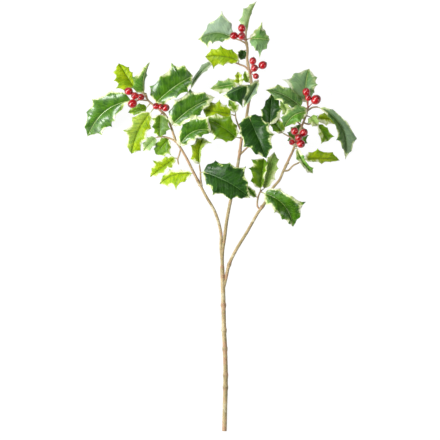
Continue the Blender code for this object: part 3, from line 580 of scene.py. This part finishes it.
def stalk_and_rib(leaf, length):
    """The leaf stalk, running on as the rib under the blade: points, faces and, for each
    point, how much of the stalk lies behind it."""
    foot = Vector(leaf.foot)
    bark, outward = seat_on_twig(foot)
    start = bark + outward * SEAT_GAP
    stalk = (foot - start).length
    route = [start, start + outward * stalk * PETIOLE_SPRING]
    for t, depth in RIB_DEPTHS:
        point, _, up = rib_point(leaf, RIB_END * t)
        route.append(point - up * depth)
    route = smooth_route(route, TUBE_STEP)
    radii, behind = [], []
    for point in route:
        run = (point - start).length
        if run < stalk:
            radii.append(between((PETIOLE_RADIUS, RIB_RADIUS[0]), (run / stalk) ** STALK_CURVE))
        else:
            radii.append(between(RIB_RADIUS, min(1, (run - stalk) / (length * RIB_END))))
        behind += [min(1, run / max(stalk, 1))] * TUBE_SIDES
    return *tube(route, radii, TUBE_SIDES), behind


def make_leaf(leaf, look, painted_sheen_halves):
    """The fine leaf: its blade with a groove along the rib, its leaf stalk and its under rib."""
    length = (Vector(leaf.tip) - Vector(leaf.foot)).length
    sides = [fine_margin(spines, SINUS_DEPTH[leaf.tint]) for spines in (leaf.left, leaf.right)]
    place, flat, shares = blade_grid(leaf, sides, length)
    faces, loop = blade_faces(len(sides[0]))
    across = flat[:, 1]
    points, solid = thick_blade(place, faces, loop, across, shares)
    spot = np.column_stack([flat, green_inside(leaf, sides, flat, length)])
    # Painted sheen: each half's share of a pale reflection colour, rising over a few millimetres from the
    # rib
    cloud = np.where(across > 0, *painted_sheen_halves) * np.clip(np.abs(across) / PAINTED_SHEEN_EDGE, 0, 1)
    seed = LEAF_SEED * LEAVES.index(leaf)
    kind = [(under, c, seed) for under in (0, 1) for c in cloud]

    made = Mesh()
    made.add(points, solid, 0, leaf_spot=[tuple(v) for v in spot] * 2, leaf_kind=kind)
    points, faces, behind = stalk_and_rib(leaf, length)
    made.add(points, faces, 1, leaf_kind=[(0, 0, share) for share in behind])
    name = "Leaf_" + leaf.name
    made.piece("Fine_" + name, [LEAF_MATERIALS[look], STALK], name)


# ---- berries
def berry_shape(centre, axis, radius):
    """Points and faces of a berry turned round its stalk's line, a little uneven."""
    side = axis.orthogonal().normalized()
    other = axis.cross(side)
    dimple, width = BERRY_DIMPLE
    full, lumps = BERRY_UNEVEN
    points = []
    for i in range(1, BERRY_RINGS + 1):
        angle = math.pi * i / (BERRY_RINGS + 1)
        out = math.sin(angle) * radius * (1 + full * math.sin(angle) * math.cos(angle))
        drawn_in = dimple * math.exp(-((math.pi - angle) / width) ** 2)
        along = -math.cos(angle) * radius * BERRY_STRETCH - drawn_in * radius
        for k in range(BERRY_SIDES):
            turn = 2 * math.pi * k / BERRY_SIDES
            away = math.cos(turn) * side + math.sin(turn) * other
            spot = Vector((math.cos(turn), math.sin(turn), along / radius)) + centre * BERRY_SEED
            points.append(centre + axis * along + out * (1 + lumps * noise.noise(spot)) * away)
    return points, tube_faces(BERRY_RINGS, BERRY_SIDES)


def scar_shape(scar, axis):
    """Points and faces of the withered flower's lobed crown at the end of a berry."""
    lobes, height = SCAR_LOBES
    points, faces = tube([scar + axis * (along - height) for along, _ in SCAR_RINGS],
                         [radius for _, radius in SCAR_RINGS], SCAR_SIDES)
    for k in range(SCAR_SIDES, 3 * SCAR_SIDES):
        points[k] += axis * height * math.cos(2 * math.pi * lobes * k / SCAR_SIDES)
    return points, faces


def make_bunch(bunch):
    """Glossy berries with withered flower scars, on curved stalks."""
    bark, outward = seat_on_twig(Vector(bunch.root))
    root = bark + outward * (SEAT_GAP + BERRY_STALK_RADIUS)
    ends, waist = BERRY_STALK_WAIST
    made = Mesh()
    for x, y, z, radius in bunch.berries:
        centre = Vector((x, y, z))
        knee = root.lerp(centre, 0.5) + Vector((0, 0, BERRY_STALK_RISE))
        axis = (centre - knee).normalized()
        points, faces = berry_shape(centre, axis, radius)
        spots = [((p - centre).dot(axis) / radius, 0, 0) for p in points]
        made.add(points, faces, 0, berry_spot=spots)
        inner = centre - axis * radius * BERRY_STALK_SUNK
        route = smooth_route([root, knee, inner], BERRY_STALK_STEP)
        last = len(route) - 1
        radii = [BERRY_STALK_RADIUS * (ends - waist * math.sin(math.pi * k / last))
                 for k in range(last + 1)]
        made.add(*tube(route, radii, TUBE_SIDES), 1)
        made.add(*scar_shape(centre + axis * radius * BERRY_STRETCH, axis), 2)
    name = "Berries_" + bunch.name
    made.piece("Fine_" + name, [BERRY, BERRY_STALK, SCAR], name)


# ---- the woody stem
def bark_height(point, radius, knot):
    """How far the bark stands out of the plain shoot, with its lumps and a knuckle's ring."""
    lump = sum(noise.noise(point * scale) * weight for scale, weight in BARK_NOISE)
    place, width, height = BARK_RING
    ring = math.exp(-((knot - place) / width) ** 2)
    ring *= max(0, noise.noise(point * RING_NOISE[0]) + RING_NOISE[1])
    return (BARK_SWELL + BARK_LUMP * lump) * radius + height * ring


def add_shoot(made, number, shoot):
    """One shoot with lumpy bark and a rounded end."""
    route, radii, knots = shoot_route(shoot, BARK_STEP)
    sides = BARK_SIDES if number < BRANCHES else TWIG_SIDES
    ahead = (route[-1] - route[-2]).normalized()
    for share, narrow in END_CAP:
        route.append(route[-1] + ahead * radii[-1] * share)
        radii.append(radii[-1] * narrow)
        knots.append(0)
    plain, faces = tube(route, radii, sides)
    points, spots, kinds = [], [], []
    run = 0
    for i, centre in enumerate(route):
        run += (centre - route[i - 1]).length if i else 0
        for k in range(sides):
            point = plain[i * sides + k]
            out = (point - centre).normalized()
            points.append(point + out * bark_height(point, radii[i], knots[i]))
            spots.append((run, 4 * math.pi * k / sides, min(1, radii[i] / BARK_THICK)))
            kinds.append((knots[i], number, 0))
    made.add(points, faces, 0, bark_spot=spots, bark_kind=kinds)


def add_bud(made, number, share, turn):
    route, radii, _ = shoot_route(SHOOTS[number], BARK_STEP)
    i = min(len(route) - 2, int(share * (len(route) - 1)))
    ahead = (route[i + 1] - route[i]).normalized()
    side = left_of(ahead) * turn
    start = route[i] + side * radii[i] * BUD_SUNK
    tip = start + (side + ahead * BUD_SLANT).normalized() * BUD_LENGTH
    points, faces = tube([start.lerp(tip, t) for t, _ in BUD_RINGS],
                         [radius for _, radius in BUD_RINGS], TUBE_SIDES)
    thick, knot = BUD_LOOK
    made.add(points, faces, 0, bark_spot=[(p.x, p.y, thick) for p in points],
             bark_kind=[(knot, 0, 0)] * len(points))


def make_stem():
    """Shoots with lumpy bark, ringed knuckles and small buds, and a sawn lower end."""
    made = Mesh()
    for number, shoot in enumerate(SHOOTS):
        add_shoot(made, number, shoot)
    made.slots[0] = 1  # the first face closes the main stem at its sawn end
    for bud in BUDS:
        add_bud(made, *bud)
    made.piece("Fine_Stem", [BARK, CUT_WOOD], "Stem")


# ---- materials
# Lengths in leaf_spot and bark_spot are in millimetres, the place on the object in metres.
class Shader:
    """A material's or the sky's nodes, with short calls for the kinds used here."""

    def __init__(self, name, owners=bpy.data.materials, surface="Principled BSDF", **plain):
        self.owner = owners.new(name)
        self.owner.use_nodes = True
        self.tree = self.owner.node_tree
        self.surface = self.tree.nodes[surface]
        for key, value in plain.items():
            self.surface.inputs[key.replace("_", " ")].default_value = value

    def node(self, kind, *inputs, out=0, **settings):
        made = self.tree.nodes.new("ShaderNode" + kind)
        for key, value in settings.items():
            setattr(made, key, value)
        for key, value in inputs:
            if isinstance(value, bpy.types.NodeSocket):
                self.tree.links.new(value, made.inputs[key])
            else:
                made.inputs[key].default_value = value
        return made.outputs[out]

    def attribute(self, name):
        """A named vector, and its three numbers."""
        found = self.node("Attribute", attribute_name=name, out="Vector")
        return found, *self.node("SeparateXYZ", (0, found)).node.outputs

    def vector(self, x, y, z):
        return self.node("CombineXYZ", (0, x), (1, y), (2, z))

    def math(self, operation, a, b=0.0):
        return self.node("Math", (0, a), (1, b), operation=operation)

    def times(self, a, b):
        return self.math("MULTIPLY", a, b)

    def plus(self, value, *terms):
        """value with each (term, weight) added to it."""
        for term, weight in terms:
            value = self.math("ADD", value, self.times(term, weight))
        return value

    def ramp(self, value, start, end, low=0.0, high=1.0):
        """value taken smoothly from low at start to high at end."""
        return self.node("MapRange", (0, value), (1, start), (2, end), (3, low), (4, high),
                         interpolation_type="SMOOTHSTEP")

    def stretch(self, vector, scale, move=(0, 0, 0)):
        return self.node("Mapping", (0, vector), (1, move), (3, scale))

    def noise(self, vector, scale, detail, roughness):
        return self.node("TexNoise", ("Vector", vector), ("Scale", scale), ("Detail", detail),
                         ("Roughness", roughness))

    def place(self, scale, move=(0, 0, 0)):
        """The place on the object in metres, stretched."""
        return self.stretch(self.node("TexCoord", out="Object"), scale, move)

    def grain(self, scale, detail=3, roughness=0.5, move=(0, 0, 0)):
        return self.noise(self.place(scale, move), 1.0, detail, roughness)

    def pores(self, scale, none, full):
        """Dots: none at this distance from a cell's middle, and full at that one."""
        cells = self.node("TexVoronoi", ("Vector", self.place(scale)), ("Scale", 1.0),
                          out="Distance")
        return self.ramp(cells, none, full)

    def mix(self, share, a, b):
        a, b = ((*c, 1) if isinstance(c, tuple) else c for c in (a, b))
        return self.node("Mix", (0, share), (6, a), (7, b), out=2, data_type="RGBA")

    def base(self, value, start, end, low, high):
        self.colour = self.mix(self.ramp(value, start, end), low, high)

    def paint(self, mask, strength, colour):
        """Paint over the colour so far where the mask is, at most at this strength."""
        self.colour = self.mix(self.times(mask, strength), self.colour, colour)

    def done(self, roughness=None, height=None, depth=0.0, strength=0.0):
        links = self.tree.links
        links.new(self.colour, self.surface.inputs["Base Color"])
        if roughness is not None:
            links.new(roughness, self.surface.inputs["Roughness"])
        if height is not None:
            bump = self.node("Bump", ("Strength", strength), ("Distance", depth), ("Height", height))
            links.new(bump, self.surface.inputs["Normal"])
        return self.owner


def leaf_material(name, look):
    """Cream ragged margin, green centre with paler patches, painted shade beside the rib, rib, side veins,
    a fine net and a painted sheen on chosen halves.
    """
    s = Shader(name, Specular_IOR_Level=0.15, Coat_Weight=look.coat, Coat_Roughness=0.27,
               Coat_IOR=1.55)
    _, along, across, inside = s.attribute("leaf_spot")
    _, under, cloud, seed = s.attribute("leaf_kind")
    moved = s.vector(along, across, seed)
    wide = s.noise(moved, 0.11, 3, 0.55)
    middle = s.noise(moved, 0.32, 3, 0.6)
    small = s.noise(moved, 1.3, 3, 0.6)
    away = s.math("ABSOLUTE", across)

    slant = s.plus(along, (away, -0.62), (middle, 3.2))
    gap = s.math("PINGPONG", slant, look.veins / 2)
    vein = s.times(s.ramp(gap, 0.62, 0.05), s.ramp(inside, 0.2, 2.5))
    beside = s.ramp(gap, look.veins / 2, look.veins / 6)
    net = s.node("TexVoronoi", ("Vector", moved), ("Scale", 0.62), out="Distance",
                 feature="DISTANCE_TO_EDGE")
    net = s.ramp(net, 0.12, 0.0)
    rib = s.ramp(away, look.rib_width, look.rib_width * 0.35)
    ray = s.noise(s.vector(slant, s.times(away, 0.18), seed), 0.75, 2, 0.5)
    side = s.noise(s.vector(along, s.times(across, 2.0), seed), 0.045, 1, 0.4)

    s.base(wide, 0.38, 0.62, look.centre, look.light)
    s.paint(s.ramp(ray, 0.45, 0.70), 0.65, look.light)
    # Painted shade: the dark centre green laid back over the blade within about 3 mm of the rib, where the
    # groove's sides are shaded
    s.paint(s.ramp(away, 3.0, 0.8), s.ramp(middle, 0.30, 0.60, 0.15, 0.55), look.centre)
    s.paint(s.ramp(small, 0.40, 0.75), 0.25, look.light)
    ragged = inside
    for value, share in ((middle, 1), (ray, 1.6), (side, 5.5)):
        ragged = s.plus(ragged, (s.math("SUBTRACT", value, 0.5), look.ragged * share))
    s.paint(s.ramp(ragged, look.margin * 2.4, look.margin * 1.1), look.patching, look.patch)
    s.paint(vein, look.vein_strength, look.vein)
    s.paint(net, 0.16, look.vein)
    cream = s.mix(s.ramp(ragged, look.margin, look.margin - 1.6), CREAM_GREEN, CREAM)
    cream = s.mix(s.times(s.ramp(wide, 0.45, 0.65), 0.5), cream, CREAM_GREEN)
    s.paint(s.ramp(ragged, look.margin + 0.5, look.margin - 0.5), 1, cream)
    s.paint(rib, 0.9, look.rib)
    # Painted sheen: the pale grey-green laid over each half by its share, in place of a reflection
    s.paint(cloud, s.ramp(small, 0.1, 0.9, 0.75, 1.0), PAINTED_SHEEN)
    s.paint(under, 0.55, UNDERSIDE)

    rough = s.ramp(small, 0.2, 0.8, look.rough - 0.06, look.rough + 0.10)
    height = s.plus(s.times(beside, 0.55), (vein, -0.5), (net, -0.22), (rib, -0.6), (small, 0.5))
    return s.done(s.plus(rough, (under, 0.22)), height, 0.0006, 0.9)


def stalk_material():
    """Leaf stalk: pinkish brown at the twig, green under the blade, with long streaks."""
    s = Shader("leaf_stalk", Coat_Weight=0.1)
    _, _, _, behind = s.attribute("leaf_kind")
    streak = s.grain((900, 900, 2200))
    pale = s.ramp(streak, 0.3, 0.7)
    wood = s.mix(pale, (0.27, 0.16, 0.08), (0.44, 0.29, 0.17))
    green = s.mix(pale, (0.30, 0.36, 0.10), (0.46, 0.48, 0.20))
    s.base(behind, 0.0, 0.9, wood, green)
    return s.done(s.ramp(streak, 0.2, 0.8, 0.42, 0.62), streak, 0.0002, 0.5)


def berry_material():
    """Bright red skin, darker round the scar, browner at the stalk, with tiny pale pores."""
    s = Shader("berry_skin", Coat_Weight=0.8, Coat_Roughness=0.06)
    _, end, _, _ = s.attribute("berry_spot")
    cloud = s.grain((160, 160, 160))
    pore = s.pores((1500, 1500, 1500), 0.16, 0.06)
    s.base(cloud, 0.3, 0.7, (0.36, 0.003, 0.009), (0.50, 0.010, 0.014))
    s.paint(s.ramp(end, 0.72, 1.08), 0.75, (0.22, 0.004, 0.006))
    s.paint(s.ramp(end, -0.8, -1.1), 0.5, (0.42, 0.03, 0.01))
    s.paint(pore, 0.35, (0.9, 0.25, 0.15))
    height = s.plus(s.times(cloud, 0.6), (pore, 0.4))
    return s.done(s.ramp(cloud, 0.2, 0.8, 0.20, 0.30), height, 0.0002, 0.25)


def small_material(name, low, high, scale, rough):
    """A speckled material for the small parts."""
    s = Shader(name)
    grain = s.grain((scale, scale, scale), 4, 0.6)
    s.base(grain, 0.3, 0.7, low, high)
    return s.done(s.ramp(grain, 0.2, 0.8, rough - 0.08, rough + 0.08), grain, 0.0002, 0.7)


def bark_material():
    """Khaki bark, streaked and cracked, with pale, pinkish and olive patches and dark scars."""
    s = Shader("bark_skin", Specular_IOR_Level=0.35)
    spot, run, around, thick = s.attribute("bark_spot")
    _, knot, number, _ = s.attribute("bark_kind")
    patch = s.grain((90, 70, 90), 3, 0.6, (3, 1, 0))
    band = s.grain((60, 95, 60), 2, 0.5, (7, 4, 2))
    fine = s.grain((1600, 500, 1600), 4, 0.65)
    crack = s.noise(s.stretch(spot, (0.22, 1.6, 0.0)), 1.0, 4, 0.7)
    scar = s.noise(s.vector(s.plus(run, (around, 1.1)), s.times(around, 0.5), number), 0.33, 2, 0.5)
    pore = s.pores((520, 260, 520), 0.20, 0.10)
    s.base(patch, 0.38, 0.62, (0.52, 0.40, 0.21), (0.37, 0.30, 0.14))
    for value, start, end, strength, colour in (
            (band, 0.54, 0.66, 0.75, (0.62, 0.56, 0.36)),  # pale
            (band, 0.46, 0.36, 0.65, (0.47, 0.26, 0.16)),  # pinkish
            (patch, 0.36, 0.26, 0.60, (0.24, 0.27, 0.10)),  # olive
            (thick, 0.75, 0.35, 0.35, (0.42, 0.27, 0.16)),  # browner twigs
            (crack, 0.50, 0.72, 0.45, (0.22, 0.14, 0.07)),
            (fine, 0.52, 0.80, 0.45, (0.62, 0.52, 0.36)),
            (scar, 0.66, 0.72, 0.65, (0.13, 0.10, 0.04))):
        s.paint(s.ramp(value, start, end), strength, colour)
    s.paint(pore, 0.6, (0.70, 0.60, 0.44))
    s.paint(s.ramp(knot, 0.45, 0.95), s.ramp(patch, 0.40, 0.60, 0.08, 0.45), (0.19, 0.11, 0.06))
    height = s.plus(s.times(crack, -0.9), (fine, 0.5), (pore, 0.4))
    return s.done(s.ramp(fine, 0.2, 0.8, 0.58, 0.80), height, 0.0006, 0.9)


def cut_wood_material():
    """Sawn end: bark rim, greenish bast, pale wood with rings and a darker pith."""
    s = Shader("cut_wood")
    centre = Vector((-MIDDLE[0], -MIDDLE[1], BUTT_HEIGHT)) * MM
    where = s.node("TexCoord", out="Object")
    away = s.node("VectorMath", (0, where), (1, centre), operation="SUBTRACT")
    out = s.node("VectorMath", (0, away), operation="LENGTH", out="Value")
    grain = s.grain((2500, 2500, 2500))
    rings = s.math("PINGPONG", s.plus(out, (grain, 0.0002)), 0.00025)
    s.base(rings, 0.0, 0.00025, (0.52, 0.42, 0.24), (0.66, 0.57, 0.36))
    s.paint(s.ramp(out, 0.0007, 0.0004), 1, (0.34, 0.25, 0.13))
    s.paint(s.ramp(out, 0.0019, 0.0022), 1, (0.30, 0.33, 0.12))
    s.paint(s.ramp(out, 0.0023, 0.0026), 1, (0.26, 0.18, 0.09))
    return s.done(s.ramp(grain, 0.2, 0.8, 0.65, 0.85), grain, 0.0003, 0.7)


def floor_material():
    """Plain paper, lit from below to nearly white, with a very faint tooth."""
    s = Shader("floor_paper", Roughness=0.9, Specular_IOR_Level=0.1, Emission_Strength=FLOOR_GLOW,
               Emission_Color=(1, 1, 1, 1))
    s.base(s.grain((600, 600, 600)), 0.2, 0.8, (0.07, 0.07, 0.07), (0.09, 0.09, 0.09))
    return s.done()


# ---- how each leaf looks
# The first five are colours. margin is the width of the cream, ragged how much it varies,
# veins the distance between side veins and rib_width half the rib's, all in millimetres.
Look = namedtuple("Look", "centre light patch vein rib margin ragged patching vein_strength "
                          "veins rib_width rough coat")
CREAM, CREAM_GREEN = (0.84, 0.88, 0.62), (0.50, 0.63, 0.16)
# The first colour is a painted sheen, laid over leaf halves in place of a reflection; the second is the
# underside's own paler green.
PAINTED_SHEEN, UNDERSIDE = (0.50, 0.62, 0.52), (0.36, 0.46, 0.26)

LOOKS = {
    "dark": Look((0.018, 0.090, 0.001), (0.065, 0.20, 0.002), (0.17, 0.34, 0.03), (0.14, 0.32, 0.02),
                 (0.42, 0.60, 0.14), 1.6, 2.8, 0.60, 0.50, 8.0, 0.50, 0.30, 1.00),
    "deep": Look((0.006, 0.040, 0.002), (0.018, 0.080, 0.003), (0.07, 0.20, 0.02), (0.06, 0.19, 0.02),
                 (0.13, 0.30, 0.06), 1.5, 2.6, 0.50, 0.50, 8.5, 0.45, 0.34, 0.30),
    "grey": Look((0.035, 0.11, 0.016), (0.10, 0.21, 0.040), (0.25, 0.38, 0.10), (0.22, 0.34, 0.10),
                 (0.30, 0.40, 0.16), 1.1, 2.0, 0.5, 0.4, 8.0, 0.50, 0.38, 0.3),
    "bright": Look((0.050, 0.19, 0.010), (0.13, 0.34, 0.025), (0.34, 0.52, 0.12), (0.30, 0.52, 0.12),
                   (0.62, 0.74, 0.26), 1.9, 2.8, 0.7, 0.4, 7.0, 0.60, 0.36, 0.2),
    "mid": Look((0.058, 0.17, 0.001), (0.14, 0.29, 0.002), (0.28, 0.44, 0.02), (0.13, 0.28, 0.01),
                (0.26, 0.38, 0.06), 1.3, 2.6, 0.6, 0.35, 7.0, 0.50, 0.35, 0.2),
    "lime": Look((0.19, 0.35, 0.001), (0.38, 0.52, 0.002), (0.47, 0.59, 0.05), (0.09, 0.18, 0.002),
                 (0.11, 0.11, 0.01), 1.2, 2.6, 0.6, 0.45, 6.5, 0.45, 0.38, 0.1),
    "pale": Look((0.17, 0.35, 0.05), (0.34, 0.53, 0.11), (0.50, 0.64, 0.24), (0.42, 0.56, 0.18),
                 (0.48, 0.58, 0.22), 1.4, 2.6, 0.8, 0.4, 6.0, 0.45, 0.40, 0.15),
}
# Leaves that look other than their tint: look, and the share of painted sheen on the left and on the right
# half.
LEAF_LOOKS = {
    "left_3": ("bright", 0, 0.1), "left_7": ("lime", 0, 0.15), "left_9": ("lime", 0, 0.1),
    "left_10": ("mid", 0.1, 0), "left_11": ("pale", 0.2, 0.1), "middle_1": ("grey", 0, 0.45),
    "middle_2": ("pale", 0.3, 0.2), "middle_3": ("bright", 0.1, 0.25),
    "middle_5": ("pale", 0.6, 0.7), "middle_6": ("bright", 0, 0.1),
    "middle_9": ("deep", 0, 0.1), "middle_10": ("grey", 0.4, 0.1), "middle_12": ("deep", 0, 0),
    "middle_15": ("deep", 0, 0), "middle_16": ("deep", 0, 0), "right_1": ("mid", 0, 0),
    "right_3": ("bright", 0, 0), "right_5": ("deep", 0, 0), "right_7": ("grey", 0, 0),
    "right_8": ("bright", 0.35, 0.25), "right_9": ("bright", 0, 0.1),
    "right_10": ("grey", 0.25, 0), "right_16": ("bright", 0, 0),
}
LEAF_MATERIALS = {name: leaf_material("leaf_" + name, look) for name, look in LOOKS.items()}
STALK = stalk_material()
BERRY = berry_material()
BERRY_STALK = small_material("berry_stalk", (0.30, 0.02, 0.02), (0.50, 0.07, 0.03), 900, 0.40)
SCAR = small_material("berry_scar", (0.07, 0.010, 0.008), (0.16, 0.04, 0.03), 2500, 0.70)
BARK = bark_material()
CUT_WOOD = cut_wood_material()


# ---- the scene
def make_floor():
    """A wide flat sheet of paper that the spray lies on."""
    corners = ((-1, -1), (1, -1), (1, 1), (-1, 1))
    mesh = bpy.data.meshes.new("Floor")
    mesh.from_pydata([(x * FLOOR_HALF, y * FLOOR_HALF, -FLOOR_DEPTH) for x, y in corners],
                     [], [(0, 1, 2, 3)])
    mesh.materials.append(floor_material())
    floor = linked("Floor", mesh)


def add_light(name, place, size, power):
    light = bpy.data.lights.new(name, "AREA")
    light.shape = "RECTANGLE"
    light.size, light.size_y = size
    light.energy = power
    made = linked(name, light)
    made.location = place
    made.rotation_euler = (Vector(LIGHT_TARGET) - Vector(place)).to_track_quat("-Z", "Y").to_euler()


def light_and_camera():
    scene = bpy.context.scene
    sky = Shader("studio", bpy.data.worlds, "Background")
    height = sky.node("SeparateXYZ", (0, sky.node("TexCoord", out="Generated")), out="Z")
    strength = sky.ramp(height, *SKY_CHANGE, SKY_BRIGHT, SKY_DIM)
    sky.tree.links.new(strength, sky.surface.inputs["Strength"])
    scene.world = sky.owner
    scene.view_settings.view_transform = "Standard"
    for light in LIGHTS:
        add_light(*light)
    camera = bpy.data.cameras.new("camera")
    camera.lens = CAMERA_LENS
    camera.clip_end = 20
    scene.camera = linked("camera", camera)
    scene.camera.location = CAMERA_PLACE


make_floor()
light_and_camera()
make_stem()
for leaf in LEAVES:
    look, *painted_sheen_halves = LEAF_LOOKS.get(leaf.name, (leaf.tint, 0, 0))
    make_leaf(leaf, look, painted_sheen_halves)
for bunch in BUNCHES:
    make_bunch(bunch)
bpy.context.view_layer.update()
